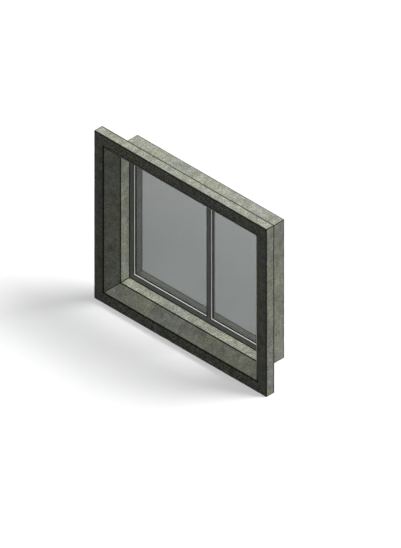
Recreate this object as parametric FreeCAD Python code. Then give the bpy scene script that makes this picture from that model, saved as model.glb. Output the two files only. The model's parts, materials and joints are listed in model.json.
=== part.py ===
import FreeCAD, Part
import os

os.makedirs("parts", exist_ok=True)
Vector = FreeCAD.Vector

# A fixed window in a precast concrete surround. The surround is one casting: a lining
# that runs through the whole wall, and a collar that stands proud of the wall outside
# and closes the joint round it. Its inside splays in from the front to the wall face.
# An aluminium frame with one mullion, off centre, stands in the lining and holds two
# sheets of glass between gaskets, with clip-in beads on the room side.
#
# Millimetres. X runs along the wall to the right as seen from outside, Y runs into the
# wall towards the room, and Z is up. Y = 0 is the wall's outer face, which the back of
# the collar lies against. The origin is on that back face, at the middle of the width
# and of the height of its bottom band.

# The opening that the surround leaves, and the wall that it is made for
opening_width = 1500.0
opening_height = 1200.0
wall_thickness = 250.0

# Precast surround
lining_thickness = 60.0
collar_projection = 90.0
splay_width = 100.0
collar_border = 100.0
arris = 4.0
drip_radius = 6.0
drip_setback = 30.0
drip_stop = 60.0

# Aluminium frame
reveal_depth = 100.0
frame_depth = 50.0
frame_face = 42.0
frame_arris = 1.0
mullion_face = 50.0
mullion_offset = 125.0
extrusion_wall = 2.0
rebate_height = 14.0

# Perimeter joint between the frame and the surround
joint_width = 8.0
sealant_depth = 8.0
sealant_recess = 1.0
sealant_hollow = 1.0
packer_length = 80.0
packer_width = 30.0
packer_corner_distance = 150.0

# Glazing
glass_thickness = 6.0
glass_setback = 22.0
glass_bite = 10.0
gasket_thickness = 3.0
gasket_height = 8.0
gasket_lip = 4.0
gasket_groove_width = 3.0
gasket_groove_depth = 3.0
gasket_foot_clearance = 0.2
block_length = 80.0
block_margin = 1.0

# Glazing beads
bead_wall = 1.5
bead_arris = 1.5
clip_groove_width = 4.0
clip_groove_depth = 3.0
clip_clearance = 0.2

# Depths through the wall
collar_front = -collar_projection
frame_front = reveal_depth
frame_back = frame_front + frame_depth
glass_front = frame_front + glass_setback
glass_back = glass_front + glass_thickness
lip_back = glass_front - gasket_thickness
bead_front = glass_back + gasket_thickness
clip_centre = (bead_front + frame_back) / 2

# Sizes that follow
collar_growth = splay_width + collar_border
band_height = collar_growth - lining_thickness
opening_centre = band_height / 2 + lining_thickness + opening_height / 2
frame_width = opening_width - 2 * joint_width
frame_height = opening_height - 2 * joint_width
light_height = frame_height - 2 * frame_face
glass_clearance = rebate_height - glass_bite
grooved_wall = extrusion_wall + gasket_groove_depth
clip_wall = extrusion_wall + clip_groove_depth
light_edges = {
    "left": (-frame_width / 2 + frame_face, mullion_offset - mullion_face / 2),
    "right": (mullion_offset + mullion_face / 2, frame_width / 2 - frame_face),
}


def export(name, shape):
    """Write one node, lifted so that the opening's centre is at its height."""
    lifted = shape.copy()
    lifted.translate(Vector(0, 0, opening_centre))
    lifted.exportStep("parts/" + name + ".step")


def box(x_range, y_range, z_range):
    """A box between pairs of coordinates."""
    size = [high - low for low, high in (x_range, y_range, z_range)]
    corner = Vector(x_range[0], y_range[0], z_range[0])
    return Part.makeBox(size[0], size[1], size[2], corner)


def polygon_face(points):
    """A flat face round a list of corner points."""
    return Part.Face(Part.makePolygon(points + points[:1]))


def ring(width, height, profile):
    """Sweep a profile round a rectangle, with mitred corners.

    Each profile point is (growth, depth): how far outside the rectangle, and its Y.
    """
    loops = []
    for growth, depth in profile:
        x = width / 2 + growth
        z = height / 2 + growth
        corners = [(-x, -z), (x, -z), (x, z), (-x, z)]
        loops.append([Vector(cx, depth, cz) for cx, cz in corners])
    faces = []
    for index, loop in enumerate(loops):
        following = loops[(index + 1) % len(loops)]
        for side in range(4):
            other = (side + 1) % 4
            faces.append(polygon_face([loop[side], loop[other], following[other], following[side]]))
    solid = Part.Solid(Part.Shell(faces))
    if solid.Volume < 0:
        solid.reverse()
    return solid


def section(points):
    """A face across a bar that runs along X, from (height, depth) points."""
    return polygon_face([Vector(0, depth, height) for height, depth in points])


def bar(face, length, base_height):
    """Extrude a section along X, centred, with the section's zero at base_height."""
    solid = face.extrude(Vector(length, 0, 0))
    solid.translate(Vector(-length / 2, 0, base_height))
    return solid


def mitre(solid, length, base_height, face_width):
    """Cut both ends of a bar at 45 degrees, so that it gets shorter inwards."""
    for end in (-1, 1):
        tip = end * length / 2
        corners = [
            Vector(tip, frame_front, base_height),
            Vector(tip, frame_front, base_height + face_width),
            Vector(tip - end * face_width, frame_front, base_height + face_width),
        ]
        wedge = polygon_face(corners).extrude(Vector(0, frame_depth, 0))
        solid = solid.cut(wedge)
    return solid


def turned(solid, quarter_turns):
    """Turn a bar about the opening's centre, from the sill to another side."""
    copy = solid.copy()
    copy.rotate(Vector(0, 0, 0), Vector(0, 1, 0), 90 * quarter_turns)
    return copy


def precast_surround():
    """One casting: collar, splay and lining, with drip grooves under head and collar."""
    splay_length = (splay_width**2 + collar_projection**2) ** 0.5
    along_splay = arris * splay_width / splay_length
    back_from_front = arris * collar_projection / splay_length
    profile = [
        (collar_growth - arris, collar_front),
        (collar_growth, collar_front + arris),
        (collar_growth, 0),
        (lining_thickness, 0),
        (lining_thickness, wall_thickness),
        (arris, wall_thickness),
        (0, wall_thickness - arris),
        (0, 0),
        (splay_width - along_splay, collar_front + back_from_front),
        (splay_width + arris, collar_front),
    ]
    casting = ring(opening_width, opening_height, profile)
    collar_bottom = -(opening_height / 2 + collar_growth)
    collar_width = opening_width + 2 * collar_growth
    for width, depth, height in (
        (collar_width, collar_front + drip_setback, collar_bottom),
        (opening_width, drip_setback, opening_height / 2),
    ):
        length = width - 2 * drip_stop
        start = Vector(-length / 2, depth, height)
        casting = casting.cut(Part.makeCylinder(drip_radius, length, start, Vector(1, 0, 0)))
    return casting


def gasket_groove(sight_height, face_depth, direction):
    """The slot for a gasket's foot, measured outwards from the sight line."""
    middle = sight_height - gasket_height / 2
    low = middle - gasket_groove_width / 2
    high = middle + gasket_groove_width / 2
    bottom = face_depth + direction * gasket_groove_depth
    return section([(low, face_depth), (high, face_depth), (high, bottom), (low, bottom)])


def clip_slot(floor_height):
    """The slot in the rebate floor that a bead's clip goes into."""
    front = clip_centre - clip_groove_width / 2
    back = clip_centre + clip_groove_width / 2
    bottom = floor_height - clip_groove_depth
    return section([(floor_height, front), (floor_height, back), (bottom, back), (bottom, front)])


def frame_section():
    """Hollow extrusion with a glazing lip outside and an open rebate to the room."""
    floor = frame_face - rebate_height
    outline = section([
        (0, frame_front),
        (frame_face - frame_arris, frame_front),
        (frame_face, frame_front + frame_arris),
        (frame_face, lip_back),
        (floor, lip_back),
        (floor, frame_back),
        (0, frame_back),
    ])
    chamber = section([
        (extrusion_wall, frame_front + extrusion_wall),
        (frame_face - extrusion_wall, frame_front + extrusion_wall),
        (frame_face - extrusion_wall, lip_back - grooved_wall),
        (floor - clip_wall, lip_back - grooved_wall),
        (floor - clip_wall, frame_back - extrusion_wall),
        (extrusion_wall, frame_back - extrusion_wall),
    ])
    grooved = outline.cut(gasket_groove(frame_face, lip_back, -1)).cut(clip_slot(floor))
    return grooved.cut(chamber)


def frame_bar(length, span):
    """One mitred side of the frame, lying as the sill does, in a frame that high."""
    base_height = -span / 2
    return mitre(bar(frame_section(), length, base_height), length, base_height, frame_face)


def mullion():
    """Hollow T extrusion between the rebates of head and sill, lips butted to theirs."""
    half_face = mullion_face / 2
    half_stem = half_face - rebate_height
    half_outline = [
        (half_face - frame_arris, frame_front),
        (half_face, frame_front + frame_arris),
        (half_face, lip_back),
        (half_stem, lip_back),
        (half_stem, frame_back),
    ]
    half_chamber = [
        (half_face - extrusion_wall, frame_front + extrusion_wall),
        (half_face - extrusion_wall, lip_back - grooved_wall),
        (half_stem - clip_wall, lip_back - grooved_wall),
        (half_stem - clip_wall, frame_back - extrusion_wall),
    ]

    def mirrored(half):
        return half + [(-width, depth) for width, depth in reversed(half)]

    profile = section(mirrored(half_outline)).cut(section(mirrored(half_chamber)))
    for groove in (gasket_groove(half_face, lip_back, -1), clip_slot(half_stem)):
        profile = profile.cut(groove)
        profile = profile.cut(groove.mirror(Vector(0, 0, 0), Vector(0, 0, 1)))
    stem_length = light_height + 2 * rebate_height
    upright = turned(bar(profile, stem_length, 0), 1)
    for end in (-1, 1):
        z_range = sorted((end * light_height / 2, end * stem_length / 2))
        upright = upright.cut(box((-half_face, half_face), (frame_front, lip_back), z_range))
    upright.translate(Vector(mullion_offset, 0, 0))
    return upright


def bead_section():
    """Hollow bead with a clip below and a gasket groove towards the glass."""
    clip_front = clip_centre - clip_groove_width / 2 + clip_clearance
    clip_back = clip_centre + clip_groove_width / 2 - clip_clearance
    clip_tip = clip_clearance - clip_groove_depth
    outline = section([
        (0, bead_front),
        (rebate_height, bead_front),
        (rebate_height, frame_back - bead_arris),
        (rebate_height - bead_arris, frame_back),
        (0, frame_back),
        (0, clip_back),
        (clip_tip, clip_back),
        (clip_tip, clip_front),
        (0, clip_front),
    ])
    chamber = section([
        (bead_wall, bead_front + gasket_groove_depth + bead_wall),
        (rebate_height - bead_wall, bead_front + gasket_groove_depth + bead_wall),
        (rebate_height - bead_wall, frame_back - bead_wall),
        (bead_wall, frame_back - bead_wall),
    ])
    return outline.cut(gasket_groove(rebate_height, bead_front, 1)).cut(chamber)


def glazing_beads(light_width):
    """Head and sill beads from rebate to rebate, with the side beads between them."""
    profile = bead_section()
    level = bar(profile, light_width + 2 * rebate_height, -light_height / 2 - rebate_height)
    upright = bar(profile, light_height, -light_width / 2 - rebate_height)
    return {
        "sill": turned(level, 0),
        "left": turned(upright, 1),
        "head": turned(level, 2),
        "right": turned(upright, 3),
    }


def gasket(light_width, frame_side, glass_side):
    """A strip round one light, with a lip past the sight line and feet in the grooves."""
    strip = [
        (-gasket_lip, frame_side),
        (-gasket_lip, glass_side),
        (gasket_height, glass_side),
        (gasket_height, frame_side),
    ]
    seal = ring(light_width, light_height, strip)
    outwards = 1 if frame_side > glass_side else -1
    foot_bottom = frame_side + outwards * (gasket_groove_depth - gasket_foot_clearance)
    half_foot = gasket_groove_width / 2 - gasket_foot_clearance
    foot = section([
        (-half_foot, frame_side),
        (half_foot, frame_side),
        (half_foot, foot_bottom),
        (-half_foot, foot_bottom),
    ])
    for quarter_turns in range(4):
        length, span = (light_width, light_height)
        if quarter_turns % 2:
            length, span = span, length
        base_height = -span / 2 - gasket_height / 2
        seal = seal.fuse(turned(bar(foot, length, base_height), quarter_turns))
    return seal.removeSplitter()


def setting_blocks(light_width):
    """Two blocks at the quarter points that carry the glass on the rebate floor."""
    floor = -light_height / 2 - rebate_height
    blocks = []
    for side in (-1, 1):
        middle = side * light_width / 4
        blocks.append(box(
            (middle - block_length / 2, middle + block_length / 2),
            (glass_front - block_margin, glass_back + block_margin),
            (floor, floor + glass_clearance),
        ))
    return Part.makeCompound(blocks)


def glass_sheet(light_width):
    """One sheet, held by its edges behind the lips and the beads."""
    half_width = light_width / 2 + glass_bite
    half_height = light_height / 2 + glass_bite
    return box((-half_width, half_width), (glass_front, glass_back), (-half_height, half_height))


def perimeter_sealant(face_depth, inwards):
    """Sealant between frame and lining, tooled hollow, from one face of the frame."""
    edge = face_depth + inwards * sealant_recess
    hollow = edge + inwards * sealant_hollow
    back = edge + inwards * sealant_depth
    profile = [(0, edge), (-joint_width / 2, hollow), (-joint_width, edge), (-joint_width, back), (0, back)]
    return ring(opening_width, opening_height, profile)


def frame_packers():
    """Packers in the perimeter joint, near the corners and under and over the mullion."""
    middle_depth = (frame_front + frame_back) / 2
    depth_range = (middle_depth - packer_width / 2, middle_depth + packer_width / 2)
    near_corner = {
        "level": opening_width / 2 - packer_corner_distance,
        "upright": opening_height / 2 - packer_corner_distance,
    }
    packers = []
    for side in (-1, 1):
        z_range = sorted((side * opening_height / 2, side * frame_height / 2))
        for middle in (-near_corner["level"], mullion_offset, near_corner["level"]):
            x_range = (middle - packer_length / 2, middle + packer_length / 2)
            packers.append(box(x_range, depth_range, z_range))
        x_range = sorted((side * opening_width / 2, side * frame_width / 2))
        for middle in (-near_corner["upright"], near_corner["upright"]):
            z_range = (middle - packer_length / 2, middle + packer_length / 2)
            packers.append(box(x_range, depth_range, z_range))
    return Part.makeCompound(packers)


export("precast_surround", precast_surround())

export("frame_sill", turned(frame_bar(frame_width, frame_height), 0))
export("frame_jamb_left", turned(frame_bar(frame_height, frame_width), 1))
export("frame_head", turned(frame_bar(frame_width, frame_height), 2))
export("frame_jamb_right", turned(frame_bar(frame_height, frame_width), 3))
export("mullion", mullion())

export("outer_sealant", perimeter_sealant(frame_front, 1))
export("inner_sealant", perimeter_sealant(frame_back, -1))
export("frame_packers", frame_packers())

for light, (left_edge, right_edge) in light_edges.items():
    light_width = right_edge - left_edge
    pieces = {
        "glass_" + light: glass_sheet(light_width),
        "outer_gasket_" + light: gasket(light_width, lip_back, glass_front),
        "inner_gasket_" + light: gasket(light_width, bead_front, glass_back),
        "setting_blocks_" + light: setting_blocks(light_width),
    }
    for side, bead in glazing_beads(light_width).items():
        pieces["bead_" + light + "_light_" + side] = bead
    for name, piece in pieces.items():
        piece.translate(Vector((left_edge + right_edge) / 2, 0, 0))
        export(name, piece)
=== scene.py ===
import json
import math
from typing import NamedTuple

import bmesh
import bpy
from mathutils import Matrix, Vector, noise


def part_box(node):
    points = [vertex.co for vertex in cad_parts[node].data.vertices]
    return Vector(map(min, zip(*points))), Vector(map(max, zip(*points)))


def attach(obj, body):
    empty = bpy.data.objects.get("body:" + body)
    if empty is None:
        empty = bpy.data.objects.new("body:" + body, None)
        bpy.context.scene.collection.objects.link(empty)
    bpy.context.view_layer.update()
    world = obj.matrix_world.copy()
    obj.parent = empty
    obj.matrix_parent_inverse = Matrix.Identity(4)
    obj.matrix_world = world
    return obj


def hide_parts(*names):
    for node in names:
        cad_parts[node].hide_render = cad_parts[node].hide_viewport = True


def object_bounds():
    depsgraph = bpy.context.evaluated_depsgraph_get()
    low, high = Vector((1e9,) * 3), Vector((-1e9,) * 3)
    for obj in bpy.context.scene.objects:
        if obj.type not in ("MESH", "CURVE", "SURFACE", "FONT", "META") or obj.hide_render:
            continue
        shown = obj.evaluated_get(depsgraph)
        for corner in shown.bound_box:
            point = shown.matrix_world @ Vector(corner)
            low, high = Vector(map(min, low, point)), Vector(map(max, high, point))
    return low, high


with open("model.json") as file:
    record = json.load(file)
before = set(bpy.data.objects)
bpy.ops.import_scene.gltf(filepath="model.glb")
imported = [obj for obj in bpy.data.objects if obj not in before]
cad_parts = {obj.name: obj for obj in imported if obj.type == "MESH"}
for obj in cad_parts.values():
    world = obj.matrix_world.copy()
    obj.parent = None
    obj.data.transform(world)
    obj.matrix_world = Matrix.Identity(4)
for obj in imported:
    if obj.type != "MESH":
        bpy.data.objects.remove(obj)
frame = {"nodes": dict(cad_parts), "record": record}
cad_low, cad_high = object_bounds()
scene = bpy.context.scene

# Lengths are in metres. X runs along the wall, Y into it, and Z is up.

# Camera: a parallel view down a cube's diagonal, framed as the photograph is
VIEW_HEIGHT = 4.278
VIEW_TARGET = Vector((0.2247, -0.0895, 0.7457))
VIEW_BACK = Vector((1, -1, 1)).normalized()
CAMERA_DISTANCE = 12.0
CAMERA_REACH = 100.0

# The surround's section, as in the model
COLLAR_BORDER = 0.100
LINING_THICKNESS = 0.060
ARRIS = 0.004
DRIP_RADIUS = 0.006
DRIP_SETBACK = 0.030
DRIP_STOP = 0.060

# How finely the casting is modelled
STATION_STEP = 0.013
SHOWN_STEP = 0.012
BURIED_STEP = 0.030
ARC_STEPS = 4
GROOVE_STEPS = 6
# Other points keep at least this many half widths from the middle of a groove or a joint
CLEAR_OF_LINE = 1.2
# Points this near a surface are on it
ON_SURFACE = 0.00004

# The casting's sides, in the order in which they are built
BOTTOM, RIGHT, TOP, LEFT = range(4)
UPRIGHT_SIDES = (RIGHT, LEFT)

# Corner radii of the casting at its splay and where the wall hides it. The others are ARRIS.
SPLAY_ARRIS = ARRIS / 2
HIDDEN_ARRIS = ARRIS / 4

# Widths of the dark bands painted on the casting as shade lines, beside mitres, joints and
# corners. Each run of the section has one band where it starts and one where it ends.
EDGE_FADE = 0.0025
MITRE_BAND = 0.003
JOINT_BAND = 0.002
COLLAR_SIDE_BANDS = (0.0045, 0.0075)
COLLAR_BACK_BANDS = (0.0030, 0.0030)
LINING_SIDE_BANDS = (0.0030, 0.0040)
LINING_END_BANDS = (0.0030, 0.0010)
REVEAL_BANDS = (0.0095, 0.0055)
SPLAY_BANDS = (0.0010, 0.0042)
BORDER_BANDS = (0.0045, 0.0005)

# How far the casting's surface wanders, and how deep its chips go. Scales here and below are
# how often a pattern repeats in a metre.
UNDULATION = 0.0006
UNDULATION_SCALE = 5.0
CHIP_DEPTH = 0.0035
CHIP_SCALE = 28.0
CHIP_THRESHOLD = 0.25

# The part of a noise texture's range that most of its values lie in
NOISE_LOW = 0.3
NOISE_HIGH = 0.7
# How squarely a face has to look one way to count as a front or a top, from not at all to fully
FACING_START = 0.80
FACING_FULL = 0.95

# Concrete: the hues of its clouds, and the scales and depths of its patterns
CONCRETE_COOL = (0.420, 0.442, 0.392, 1)
CONCRETE_WARM = (0.454, 0.458, 0.346, 1)
CLOUD_SCALE = 5.5
CLOUD_CONTRAST = 0.72
TOP_CLOUD_CONTRAST = 0.50
PATCH_SCALE = 13.0
PATCH_DARK = 0.70
PATCH_LIGHT = 1.28
STREAK_FINE = 44.0
STREAK_COARSE = 7.0
STREAK_UPRIGHT = 5.0
STREAK_DEPTH = 0.08
GRAIN_SCALE = 90.0
GRAIN_DEPTH = 0.46
SAND_SCALE = 620.0
SAND_DEPTH = 0.12
PINHOLE_SCALE = 55.0
PINHOLE_RADIUS = 0.16
PINHOLE_DARKNESS = 0.45
EDGE_DARKNESS = 0.025
PATCH_RELIEF = 0.0015
GRAIN_RELIEF = 0.0008
SAND_RELIEF = 0.0003
PINHOLE_RELIEF = 0.0020

# Speckle of the sand: its strength on the fronts and on the tops of the level members, and the
# share of that on the upright ones
SPECKLE_SCALE = 85.0
FRONT_SPECKLE = 0.70
TOP_SPECKLE = 0.46
UPRIGHT_SPECKLE = 0.35

# Powder coat: clean to dull; painted shade outside, deeper low down, and with dust on tops; shade
# lines
METAL_CLEAN = (0.870, 0.868, 0.840, 1)
METAL_DULL = (0.810, 0.808, 0.780, 1)
METAL_FRONT_SHADE = (0.412, 0.420, 0.412, 1)
METAL_LOW_SHADE = (0.310, 0.318, 0.316, 1)
METAL_DUST_AND_SHADE = (0.760, 0.762, 0.740, 1)
METAL_SHADE_LINE = (0.015, 0.015, 0.015, 1)
METAL_DUST_SCALE = 22.0
ORANGE_PEEL_SCALE = 900.0
ORANGE_PEEL_RELIEF = 0.0002
SHADE_LINE_COVER = 0.97
# The part of the frame's height above its lower edge in which the deeper painted shade fades out
LOW_SHADE_FULL = 0.06
LOW_SHADE_GONE = 0.25
# Widths of the painted shade lines round each sheet of glass, first on the uprights and then on the
# level members, how far the gasket's line of it lies behind the gasket's front, and the shares of a
# width at which it starts and stops fading
FACE_SHADE_LINE = (0.0095, 0.0050)
FRONT_RETURN_SHADE_LINE = (0.0020, 0.0045)
GASKET_SHADE_LINE = (0.0065, 0.0040)
BEAD_SHADE_LINE = (0.0030, 0.0045)
BACK_SHADE_LINE = (0.0105, 0.0115)
GASKET_FOOT = 0.0028
SHADE_LINE_FULL = 0.85
SHADE_LINE_END = 1.15

# Glass: its tint, and how tightly the rain marks lie along X, Y and Z
GLASS_CLEAR = (0.148, 0.161, 0.158, 1)
GLASS_FILMED = (0.143, 0.156, 0.153, 1)
RAIN_MARK_SCALES = (30.0, 30.0, 3.0)

# Dust on black rubber, sealant and plastic, and how many times lighter it makes them
BLACK_DUST_SCALE = 35.0
BLACK_DUST_LIFT = 2.2

# Light: directions towards the lamps, and strengths that fit the photograph's faces
KEY_DIRECTION = (0.47, 0.34, 0.85)
KEY_STRENGTH = 1.72
KEY_SHADOWING_DIRECTION = (0.39, 0.38, 0.85)
KEY_SHADOWING_STRENGTH = 0.72
FILL_DIRECTION = (-1.0, 0.25, 0.30)
FILL_STRENGTH = 0.9
FLOOR_SHADE_STRENGTH = 1.55
SOFT_SUN_ANGLE = 25.0
AMBIENT_COLOUR = (0.95, 0.98, 1.0, 1)
AMBIENT_STRENGTH = 0.085
FLOOR_REACH = 30.0
FLOOR_GAP = 0.0005
FLOOR_SEEN = 0.88
FLOOR_BOUNCE = 0.030


class Tree:
    """Builds a node tree. Each call adds one node."""

    def __init__(self, tree):
        self.tree = tree
        tree.nodes.clear()

    def add(self, kind, inputs=None, **settings):
        """A node with its settings, and with a value or a link for each input that is named."""
        node = self.tree.nodes.new(kind)
        for name, value in settings.items():
            setattr(node, name, value)
        for key, value in (inputs or {}).items():
            if isinstance(value, bpy.types.NodeSocket):
                self.tree.links.new(value, node.inputs[key])
            else:
                node.inputs[key].default_value = value
        return node

    def math(self, operation, first, second=0.0, third=0.0):
        """The result of one sum."""
        node = self.add("ShaderNodeMath", {0: first, 1: second, 2: third}, operation=operation)
        return node.outputs[0]

    def noise(self, vector, scale, detail=2.0, roughness=0.5, distortion=0.0):
        """A noise pattern, mostly between NOISE_LOW and NOISE_HIGH."""
        values = {
            "Vector": vector,
            "Scale": scale,
            "Detail": detail,
            "Roughness": roughness,
            "Distortion": distortion,
        }
        return self.add("ShaderNodeTexNoise", values).outputs["Fac"]

    def spread(self, value, low, high, to_low, to_high):
        """A value between low and high, moved to between to_low and to_high."""
        values = {
            "Value": value,
            "From Min": low,
            "From Max": high,
            "To Min": to_low,
            "To Max": to_high,
        }
        return self.add("ShaderNodeMapRange", values).outputs["Result"]

    def vary(self, pattern, to_low, to_high):
        """A noise pattern, moved to between to_low and to_high."""
        return self.spread(pattern, NOISE_LOW, NOISE_HIGH, to_low, to_high)

    def mix(self, factor, first, second, blend="MIX"):
        """Two colours, blended."""
        inputs = {0: factor, 6: first, 7: second}
        return self.add("ShaderNodeMix", inputs, data_type="RGBA", blend_type=blend).outputs[2]

    def bump(self, height, distance, strength=1.0, normal=None):
        """The surface's direction with a pattern's relief on it."""
        values = {"Height": height, "Distance": distance, "Strength": strength}
        if normal is not None:
            values["Normal"] = normal
        return self.add("ShaderNodeBump", values).outputs["Normal"]


def grey(value):
    """An even colour of one level."""
    return (value, value, value, 1)


def new_material(name):
    """An empty material, its node tree and the object's own coordinates."""
    material = bpy.data.materials.new(name)
    material.use_nodes = True
    tree = Tree(material.node_tree)
    place = tree.add("ShaderNodeTexCoord").outputs["Object"]
    return material, tree, place


def finish_material(material, tree, shader):
    """Joins a shader to the material's surface."""
    tree.add("ShaderNodeOutputMaterial", {"Surface": shader.outputs[0]})
    return material


def facing_ways(tree):
    """The face's own direction, as its X, Y and Z."""
    face = tree.add("ShaderNodeNewGeometry").outputs["True Normal"]
    return tree.add("ShaderNodeSeparateXYZ", {0: face}).outputs


def concrete_streaks(tree, place, facing):
    """Soft upright streaks, laid across each face."""
    patterns = []
    for scales in (
        (STREAK_FINE, STREAK_COARSE, STREAK_UPRIGHT),
        (STREAK_COARSE, STREAK_FINE, STREAK_UPRIGHT),
    ):
        stretched = tree.add("ShaderNodeMapping", {"Vector": place, "Scale": scales})
        patterns.append(tree.noise(stretched.outputs["Vector"], 1.0, detail=3.0, roughness=0.55))
    front_streaks, side_streaks = patterns
    return tree.spread(tree.math("ABSOLUTE", facing["X"]), 0.4, 0.8, front_streaks, side_streaks)


def concrete_speckle(tree, place, facing):
    """Factor for the sand that shows as speckle, mostly on the fronts of the level members."""
    on_front = tree.spread(facing["Y"], -FACING_START, -FACING_FULL, 0.0, FRONT_SPECKLE)
    on_top = tree.spread(facing["Z"], FACING_START, FACING_FULL, 0.0, TOP_SPECKLE)
    on_level = tree.add("ShaderNodeAttribute", attribute_name="level").outputs["Fac"]
    share = tree.spread(on_level, 0.0, 1.0, UPRIGHT_SPECKLE, 1.0)
    strength = tree.math("MULTIPLY", share, tree.math("ADD", on_front, on_top))
    speckle = tree.vary(tree.noise(place, SPECKLE_SCALE, detail=3.0, roughness=0.6), -1.0, 1.0)
    return tree.math("MULTIPLY_ADD", speckle, strength, 1.0)


def concrete_pinholes(tree, place):
    """1 in the pinholes, which come in groups, else 0."""
    values = {"Vector": place, "Scale": PINHOLE_SCALE, "Randomness": 1.0}
    cells = tree.add("ShaderNodeTexVoronoi", values)
    chosen = tree.spread(tree.noise(place, 9.0, detail=1.0), 0.50, 0.62, 0.0, 1.0)
    radius = tree.math("MULTIPLY", chosen, PINHOLE_RADIUS)
    inside = tree.math("SUBTRACT", radius, cells.outputs["Distance"])
    return tree.spread(inside, 0.0, 0.05, 0.0, 1.0)


def concrete_material():
    """Precast concrete: hue clouds, patches, streaks, grain, speckle, pinholes and painted edge
    shade.
    """
    material, tree, place = new_material("concrete")
    facing = facing_ways(tree)
    clouds = tree.noise(place, CLOUD_SCALE, detail=3.0, roughness=0.5, distortion=0.4)
    clouds = tree.spread(clouds, 0.40, 0.60, -0.5, 0.5)
    contrast = tree.spread(facing["Z"], FACING_START, FACING_FULL, CLOUD_CONTRAST, TOP_CLOUD_CONTRAST)
    hue = tree.math("MULTIPLY_ADD", clouds, contrast, 0.5)
    colour = tree.mix(hue, CONCRETE_COOL, CONCRETE_WARM)

    patches = tree.noise(place, PATCH_SCALE, detail=4.0, roughness=0.6)
    streaks = concrete_streaks(tree, place, facing)
    grain = tree.noise(place, GRAIN_SCALE, detail=3.0, roughness=0.65)
    sand = tree.noise(place, SAND_SCALE, detail=2.0, roughness=0.6)
    level = tree.vary(patches, PATCH_DARK, PATCH_LIGHT)
    for pattern, depth in ((streaks, STREAK_DEPTH), (grain, GRAIN_DEPTH), (sand, SAND_DEPTH)):
        level = tree.math("MULTIPLY", level, tree.vary(pattern, 1.0 - depth, 1.0 + depth))
    level = tree.math("MULTIPLY", level, concrete_speckle(tree, place, facing))
    pinholes = concrete_pinholes(tree, place)
    level = tree.math("MULTIPLY", level, tree.spread(pinholes, 0.0, 1.0, 1.0, PINHOLE_DARKNESS))

    # Painted shade lines: dark bands along the arrises, mitres, joints and corners, made uneven by
    # the patches
    edge = tree.add("ShaderNodeAttribute", attribute_name="edge").outputs["Fac"]
    grimy = tree.math("MULTIPLY", edge, tree.spread(patches, 0.35, 0.65, 0.75, 1.0))
    level = tree.math("MULTIPLY", level, tree.spread(grimy, 0.10, 0.62, 1.0, EDGE_DARKNESS))
    joined = tree.add("ShaderNodeCombineColor", {"Red": level, "Green": level, "Blue": level})
    colour = tree.mix(1.0, colour, joined.outputs["Color"], blend="MULTIPLY")

    normal = tree.bump(patches, PATCH_RELIEF, 0.6)
    normal = tree.bump(grain, GRAIN_RELIEF, 0.7, normal)
    normal = tree.bump(sand, SAND_RELIEF, 0.6, normal)
    normal = tree.bump(tree.math("SUBTRACT", 1.0, pinholes), PINHOLE_RELIEF, 0.8, normal)
    shader = tree.add("ShaderNodeBsdfPrincipled", {
        "Base Color": colour,
        "Roughness": tree.vary(patches, 0.82, 0.95),
        "Specular IOR Level": 0.15,
        "Normal": normal,
    })
    return finish_material(material, tree, shader)


def off_shade_lines(tree, depth, level_face):
    """Distance along Y from the nearest painted shade line, in widths of that line."""
    frame_low, frame_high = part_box("frame_sill")
    lines = (
        (frame_low.y, FRONT_RETURN_SHADE_LINE),
        (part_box("outer_gasket_left")[0].y + GASKET_FOOT, GASKET_SHADE_LINE),
        (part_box("bead_left_light_sill")[0].y, BEAD_SHADE_LINE),
        (frame_high.y, BACK_SHADE_LINE),
    )
    nearest = None
    for line, widths in lines:
        off = tree.math("ABSOLUTE", tree.math("SUBTRACT", depth, line))
        share = tree.math("DIVIDE", off, tree.spread(level_face, 0.4, 0.6, *widths))
        nearest = share if nearest is None else tree.math("MINIMUM", nearest, share)
    return nearest


def outside_light(tree, spot, light):
    """Distance outside one light (a glazed opening), in widths of the painted shade line there, or 0.
    """
    bead = "bead_" + light + "_light_"
    x_range = (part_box(bead + "left")[1].x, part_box(bead + "right")[0].x)
    z_range = (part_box(bead + "sill")[1].z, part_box(bead + "head")[0].z)
    outside = 0.0
    for axis, (low, high), width in zip("XZ", (x_range, z_range), FACE_SHADE_LINE):
        from_middle = tree.math("SUBTRACT", spot[axis], (low + high) / 2)
        past = tree.math("SUBTRACT", tree.math("ABSOLUTE", from_middle), (high - low) / 2)
        outside = tree.math("MAXIMUM", outside, tree.math("DIVIDE", past, width))
    return outside


def sight_shade_lines(tree, place, level_face):
    """1 in the painted shade lines along the edges and gasket lines that frame each sheet of glass,
    else 0.
    """
    spot = tree.add("ShaderNodeSeparateXYZ", {0: place}).outputs
    behind = off_shade_lines(tree, spot["Y"], level_face)
    nearest = None
    for light in ("left", "right"):
        outside = outside_light(tree, spot, light)
        offset = tree.add("ShaderNodeCombineXYZ", {"X": outside, "Y": behind}).outputs[0]
        reach = tree.add("ShaderNodeVectorMath", {0: offset}, operation="LENGTH").outputs["Value"]
        nearest = reach if nearest is None else tree.math("MINIMUM", nearest, reach)
    return tree.spread(nearest, SHADE_LINE_FULL, SHADE_LINE_END, 1.0, 0.0)


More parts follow.
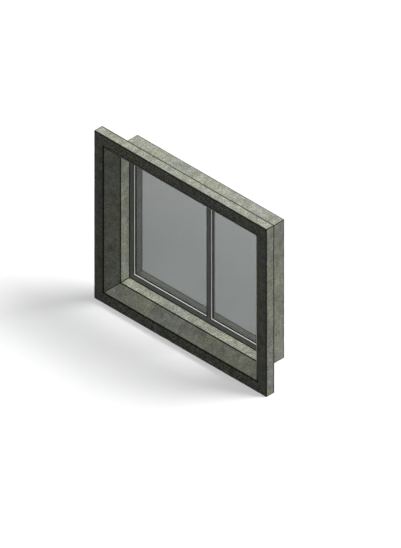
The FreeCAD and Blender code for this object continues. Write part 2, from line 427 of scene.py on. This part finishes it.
def powder_coat_material():
    """Grey powder coat with painted shade outside, dust and painted shade on tops, and shade lines
    round the glass.
    """
    material, tree, place = new_material("frame_metal")
    peel = tree.noise(place, ORANGE_PEEL_SCALE, detail=1.0)
    dust = tree.noise(place, METAL_DUST_SCALE, detail=5.0, roughness=0.65)
    facing = facing_ways(tree)
    height = tree.add("ShaderNodeSeparateXYZ", {0: place}).outputs["Z"]

    clean = tree.mix(tree.spread(dust, 0.4, 0.7, 0.0, 1.0), METAL_CLEAN, METAL_DULL)
    # Painted shade, deepest at the frame's foot, on the faces that look out
    sill_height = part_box("frame_sill")[0].z
    splashed = tree.spread(height, sill_height + LOW_SHADE_FULL, sill_height + LOW_SHADE_GONE, 1.0, 0.0)
    weathered = tree.mix(splashed, METAL_FRONT_SHADE, METAL_LOW_SHADE)
    # Painted shade on the faces that look out
    colour = tree.mix(tree.spread(facing["Y"], -0.4, -0.9, 0.0, 1.0), clean, weathered)
    # Dust on the faces that look up, which also paints shade on them
    settled = tree.math(
        "MULTIPLY",
        tree.spread(facing["Z"], 0.3, 0.9, 0.0, 1.0),
        tree.spread(dust, 0.3, 0.5, 0.8, 1.0),
    )
    colour = tree.mix(settled, colour, METAL_DUST_AND_SHADE)
    # Painted shade lines round each sheet of glass, along the sight edges, gasket lines and back edge
    shade_lines = sight_shade_lines(tree, place, tree.math("ABSOLUTE", facing["Z"]))
    colour = tree.mix(tree.math("MULTIPLY", shade_lines, SHADE_LINE_COVER), colour, METAL_SHADE_LINE)
    shader = tree.add("ShaderNodeBsdfPrincipled", {
        "Base Color": colour,
        "Roughness": tree.vary(dust, 0.42, 0.55),
        "Specular IOR Level": 0.25,
        "Normal": tree.bump(peel, ORANGE_PEEL_RELIEF, 0.3),
    })
    return finish_material(material, tree, shader)


def glass_material():
    """Neutral grey glass, tinted through, with a dull film and a trace of rain marks."""
    material, tree, place = new_material("tinted_glass")
    stretch = tree.add("ShaderNodeMapping", {"Vector": place, "Scale": RAIN_MARK_SCALES})
    marks = tree.noise(stretch.outputs["Vector"], 1.0, detail=4.0, roughness=0.6)
    tint = tree.mix(tree.spread(marks, 0.4, 0.7, 0.0, 1.0), GLASS_CLEAR, GLASS_FILMED)
    shader = tree.add("ShaderNodeBsdfPrincipled", {
        "Base Color": tint,
        "Roughness": tree.spread(marks, 0.45, 0.75, 0.0, 0.02),
        "IOR": 1.5,
        "Transmission Weight": 1.0,
        "Coat Weight": 1.0,
        "Coat Roughness": 0.6,
        "Coat IOR": 1.8,
    })
    return finish_material(material, tree, shader)


def black_material(name, level, roughness, grain_scale, grain_height):
    """Matt black rubber, sealant or plastic with its own grain and greyer dust."""
    material, tree, place = new_material(name)
    grain = tree.noise(place, grain_scale, detail=3.0)
    dust = tree.noise(place, BLACK_DUST_SCALE, detail=4.0, roughness=0.6)
    settled = tree.spread(dust, 0.45, 0.75, 0.0, 1.0)
    shader = tree.add("ShaderNodeBsdfPrincipled", {
        "Base Color": tree.mix(settled, grey(level), grey(level * BLACK_DUST_LIFT)),
        "Roughness": tree.vary(dust, roughness, roughness + 0.15),
        "Specular IOR Level": 0.12,
        "Normal": tree.bump(grain, grain_height, 0.5),
    })
    return finish_material(material, tree, shader)


def make_camera():
    """Parallel camera at the photograph's angle."""
    data = bpy.data.cameras.new("camera")
    data.type = "ORTHO"
    data.ortho_scale = VIEW_HEIGHT
    data.clip_end = CAMERA_REACH
    camera = bpy.data.objects.new("camera", data)
    camera.location = VIEW_TARGET + VIEW_BACK * CAMERA_DISTANCE
    camera.rotation_euler = (-VIEW_BACK).to_track_quat("-Z", "Y").to_euler()
    scene.collection.objects.link(camera)
    scene.camera = camera


def corner_arc(before, corner, after, radius):
    """Points round one corner, on a curve that is tangent to both sides."""
    start = corner + (before - corner).normalized() * radius
    end = corner + (after - corner).normalized() * radius
    steps = [step / ARC_STEPS for step in range(ARC_STEPS + 1)]
    return [start * (1 - t) ** 2 + corner * 2 * t * (1 - t) + end * t**2 for t in steps]


class Corner(NamedTuple):
    """A corner of the casting's section, and what the run from it to the next one has.

    growth is the corner's distance outwards from the opening, and y its place. The run has a
    dark band at each end, points a step apart, and maybe a drip groove and dark joints.
    """

    growth: float
    y: float
    radius: float
    bands: tuple
    step: float = SHOWN_STEP
    groove_y: float = None
    joint_ys: tuple = ()


def run_points(start, run, corner):
    """Points along one straight run of the section: the share of its length, and how dark."""
    parts = max(2, round(run.length / corner.step))
    near, far = (band / run.length for band in corner.bands)
    fade = EDGE_FADE / run.length
    points = [(part / parts, 0.0) for part in range(1, parts)]
    points = [point for point in points if near + fade < point[0] < 1 - far - fade]
    points += [(near, 1.0), (near + fade, 0.0), (1 - far - fade, 0.0), (1 - far, 1.0)]
    if corner.groove_y is not None:
        middle = (corner.groove_y - start.y) / run.y
        half = DRIP_RADIUS / run.length
        across = [math.cos(math.pi * turn / GROOVE_STEPS) for turn in range(GROOVE_STEPS + 1)]
        points = [point for point in points if abs(point[0] - middle) > CLEAR_OF_LINE * half]
        points += [(middle + half * offset, 0.0) for offset in across]
    for joint_y in corner.joint_ys:
        middle = (joint_y - start.y) / run.y
        band = JOINT_BAND / run.length
        clear = CLEAR_OF_LINE * (band + fade)
        points = [point for point in points if abs(point[0] - middle) > clear]
        points += [(middle - band - fade, 0.0), (middle - band, 1.0)]
        points += [(middle + band, 1.0), (middle + band + fade, 0.0)]
    return sorted(points)


def casting_section(collar_growth, low_y, high_y, joint_ys):
    """Closely spaced points of the section: where, how dark, how dark at a mitre, how worn."""
    splay = collar_growth - COLLAR_BORDER
    collar_groove = low_y + DRIP_SETBACK
    lining = LINING_THICKNESS
    corners = [
        Corner(collar_growth, low_y, ARRIS, COLLAR_SIDE_BANDS, groove_y=collar_groove),
        Corner(collar_growth, 0.0, HIDDEN_ARRIS, COLLAR_BACK_BANDS, BURIED_STEP),
        Corner(lining, 0.0, HIDDEN_ARRIS, LINING_SIDE_BANDS, BURIED_STEP),
        Corner(lining, high_y, HIDDEN_ARRIS, LINING_END_BANDS),
        Corner(0.0, high_y, ARRIS, REVEAL_BANDS, groove_y=DRIP_SETBACK, joint_ys=joint_ys),
        Corner(0.0, 0.0, SPLAY_ARRIS, SPLAY_BANDS),
        Corner(splay, low_y, SPLAY_ARRIS, BORDER_BANDS),
    ]
    spots = [Vector((corner.growth, corner.y)) for corner in corners]
    befores = spots[-1:] + spots[:-1]
    afters = spots[1:] + spots[:1]
    arcs = [
        corner_arc(before, spot, after, corner.radius)
        for before, spot, after, corner in zip(befores, spots, afters, corners)
    ]
    section = []
    for arc, next_arc, corner in zip(arcs, arcs[1:] + arcs[:1], corners):
        section += [(spot, 1.0, 1.0, 1.0) for spot in arc]
        start = arc[-1]
        run = next_arc[0] - start
        # Mitres are dark on the faces that go into the wall, and plain on those along it.
        mitre_dark = 1.0 if abs(run.y) > ARRIS else 0.0
        for share, dark in run_points(start, run, corner):
            section.append((start + run * share, dark, max(mitre_dark, dark), 0.0))
    return section


def casting_stations(half_width, half_height):
    """Where the section stands round the opening: side, share of that side, and corner or not."""
    stations = []
    for side in (BOTTOM, RIGHT, TOP, LEFT):
        half = half_height if side in UPRIGHT_SIDES else half_width
        count = round(2 * half / STATION_STEP)
        band = MITRE_BAND / half
        fade = EDGE_FADE / half
        stations += [(side, -1.0, True), (side, -1 + band, True), (side, -1 + band + fade, False)]
        stations += [(side, 2 * step / count - 1, False) for step in range(1, count)]
        stations += [(side, 1 - band - fade, False), (side, 1 - band, True)]
    return stations


def casting_point(side, share, spot, half_width, half_height):
    """A point of the section at a station, measured from the opening's centre."""
    x_side, z_side = half_width + spot.x, half_height + spot.x
    x, z = {
        BOTTOM: (share * x_side, -z_side),
        RIGHT: (x_side, share * z_side),
        TOP: (-share * x_side, z_side),
        LEFT: (-x_side, -share * z_side),
    }[side]
    return Vector((x, spot.y, z))


def groove_depth(side, along, spot, grooves):
    """How far a drip groove takes a point of the section up into the concrete."""
    for groove_side, growth, centre_y, half_length in grooves:
        across = spot.y - centre_y
        in_surface = side == groove_side and abs(spot.x - growth) < ON_SURFACE
        if in_surface and abs(along) < half_length and abs(across) < DRIP_RADIUS:
            return math.sqrt(DRIP_RADIUS**2 - across**2)
    return 0.0


def worn_by(point, weight):
    """How far wear and casting take the surface below the ideal one."""
    wander = 0.5 + 0.5 * noise.noise(point * UNDULATION_SCALE)
    chip = max(0.0, noise.noise(point * CHIP_SCALE) - CHIP_THRESHOLD) * weight
    return UNDULATION * wander + CHIP_DEPTH * chip


def casting_shell(section, stations, grooves, centre, half_width, half_height):
    """The casting's closed surface before any wear, and how worn each of its points gets."""
    shell = bmesh.new()
    edge = shell.verts.layers.float.new("edge")
    level = shell.verts.layers.float.new("level")
    wears = []
    loops = []
    for side, share, at_corner in stations:
        loop = []
        for spot, dark, mitre_dark, wear in section:
            point = casting_point(side, share, spot, half_width, half_height)
            rise = groove_depth(side, point.x, spot, grooves)
            vertex = shell.verts.new(point + Vector((centre.x, 0, centre.z + rise)))
            vertex[edge] = mitre_dark if at_corner else dark
            vertex[level] = 0.0 if side in UPRIGHT_SIDES else 1.0
            wears.append(wear)
            loop.append(vertex)
        loops.append(loop)
    for loop, following in zip(loops, loops[1:] + loops[:1]):
        for index in range(len(section)):
            other = (index + 1) % len(section)
            shell.faces.new((loop[index], loop[other], following[other], following[index]))
    bmesh.ops.recalc_face_normals(shell, faces=shell.faces)
    return shell, wears


def wear_down(shell, wears):
    """Takes each point of a surface inwards, by its own wear."""
    shell.normal_update()
    inwards = [-vertex.normal for vertex in shell.verts]
    for vertex, inward, wear in zip(shell.verts, inwards, wears):
        vertex.co += inward * worn_by(vertex.co, wear)


def make_casting():
    """The surround as a worn casting, inside the model's own surfaces."""
    seal_low, seal_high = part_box("outer_sealant")
    sill_low, sill_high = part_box("frame_sill")
    low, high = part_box("precast_surround")
    centre = (seal_low + seal_high) / 2
    half_width = (seal_high.x - seal_low.x) / 2
    half_height = (seal_high.z - seal_low.z) / 2
    growth = high.x - seal_high.x
    section = casting_section(growth, low.y, high.y, (sill_low.y, sill_high.y))
    stations = casting_stations(half_width, half_height)
    grooves = [
        (BOTTOM, growth, low.y + DRIP_SETBACK, half_width + growth - DRIP_STOP),
        (TOP, 0.0, DRIP_SETBACK, half_width - DRIP_STOP),
    ]
    shell, wears = casting_shell(section, stations, grooves, centre, half_width, half_height)
    wear_down(shell, wears)
    for face in shell.faces:
        face.smooth = True
    mesh = bpy.data.meshes.new("surround_casting")
    shell.to_mesh(mesh)
    shell.free()
    mesh.materials.append(LOOKS["concrete"])
    casting = bpy.data.objects.new("surround_casting", mesh)
    scene.collection.objects.link(casting)
    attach(casting, "root")
    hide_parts("precast_surround")
    return casting


def dress_nodes():
    """Gives every CAD node the material of its slot in the record."""
    slots = {entry["node"]: entry["material_slot"] for entry in frame["record"]["subparts"]}
    for name, node in frame["nodes"].items():
        for slot in node.material_slots:
            slot.material = LOOKS[slots[name]]


def seen_directly(tree):
    """1 for the camera and for what it sees in or through glass and gloss, else 0."""
    path = tree.add("ShaderNodeLightPath")
    seen = tree.math("MAXIMUM", path.outputs["Is Camera Ray"], path.outputs["Is Glossy Ray"])
    return tree.math("MAXIMUM", seen, path.outputs["Is Transmission Ray"])


def make_floor():
    """Plain pale floor at the foot of the surround, which sends little light back up."""
    level = cad_low.z - FLOOR_GAP
    corners = [(-1, -1), (1, -1), (1, 1), (-1, 1)]
    mesh = bpy.data.meshes.new("floor")
    spots = [(x * FLOOR_REACH, y * FLOOR_REACH, level) for x, y in corners]
    mesh.from_pydata(spots, [], [(0, 1, 2, 3)])
    material = bpy.data.materials.new("floor")
    material.use_nodes = True
    tree = Tree(material.node_tree)
    colour = tree.mix(seen_directly(tree), grey(FLOOR_BOUNCE), grey(FLOOR_SEEN))
    shader = tree.add("ShaderNodeBsdfDiffuse", {"Color": colour})
    mesh.materials.append(finish_material(material, tree, shader))
    floor = bpy.data.objects.new("floor", mesh)
    scene.collection.objects.link(floor)
    return floor


def make_world():
    """White where it is seen, and a dim even light elsewhere."""
    world = bpy.data.worlds.new("studio")
    scene.world = world
    world.use_nodes = True
    tree = Tree(world.node_tree)
    dim = tree.add("ShaderNodeBackground", {"Color": AMBIENT_COLOUR, "Strength": AMBIENT_STRENGTH})
    white = tree.add("ShaderNodeBackground", {"Color": grey(1.0), "Strength": 1.0})
    sources = {0: seen_directly(tree), 1: dim.outputs[0], 2: white.outputs[0]}
    blend = tree.add("ShaderNodeMixShader", sources)
    tree.add("ShaderNodeOutputWorld", {"Surface": blend.outputs[0]})


def make_sun(name, towards, strength, shadow):
    """A soft distant lamp that shines from one direction."""
    data = bpy.data.lights.new(name, "SUN")
    data.energy = strength
    data.angle = math.radians(SOFT_SUN_ANGLE)
    data.use_shadow = shadow
    lamp = bpy.data.objects.new(name, data)
    lamp.rotation_euler = Vector(towards).normalized().to_track_quat("Z", "Y").to_euler()
    scene.collection.objects.link(lamp)
    return lamp


def shade_floor(floor, blockers):
    """A lamp that reaches only the floor, so that the object's shadow shows there."""
    lamp = make_sun("floor_shade", KEY_SHADOWING_DIRECTION, FLOOR_SHADE_STRENGTH, True)
    lit = bpy.data.collections.new("lit_by_floor_shade")
    lit.objects.link(floor)
    lamp.light_linking.receiver_collection = lit
    shading = bpy.data.collections.new("cast_on_floor")
    for piece in blockers:
        shading.objects.link(piece)
    lamp.light_linking.blocker_collection = shading


make_camera()
LOOKS = {
    "concrete": concrete_material(),
    "frame_metal": powder_coat_material(),
    "tinted_glass": glass_material(),
    "gasket_rubber": black_material(
        "gasket_rubber", level=0.010, roughness=0.60, grain_scale=500.0, grain_height=0.0003
    ),
    "sealant": black_material(
        "sealant", level=0.012, roughness=0.45, grain_scale=160.0, grain_height=0.0008
    ),
    "packer_plastic": black_material(
        "packer_plastic", level=0.020, roughness=0.50, grain_scale=800.0, grain_height=0.0002
    ),
}
dress_nodes()
casting = make_casting()

floor = make_floor()
make_world()
make_sun("key", KEY_DIRECTION, KEY_STRENGTH, False)
make_sun("key_shadowing", KEY_SHADOWING_DIRECTION, KEY_SHADOWING_STRENGTH, True)
make_sun("fill", FILL_DIRECTION, FILL_STRENGTH, False)
framing = [node for name, node in frame["nodes"].items() if name.startswith(("frame_", "mullion"))]
shade_floor(floor, [casting] + framing)
scene.view_settings.view_transform = "Standard"
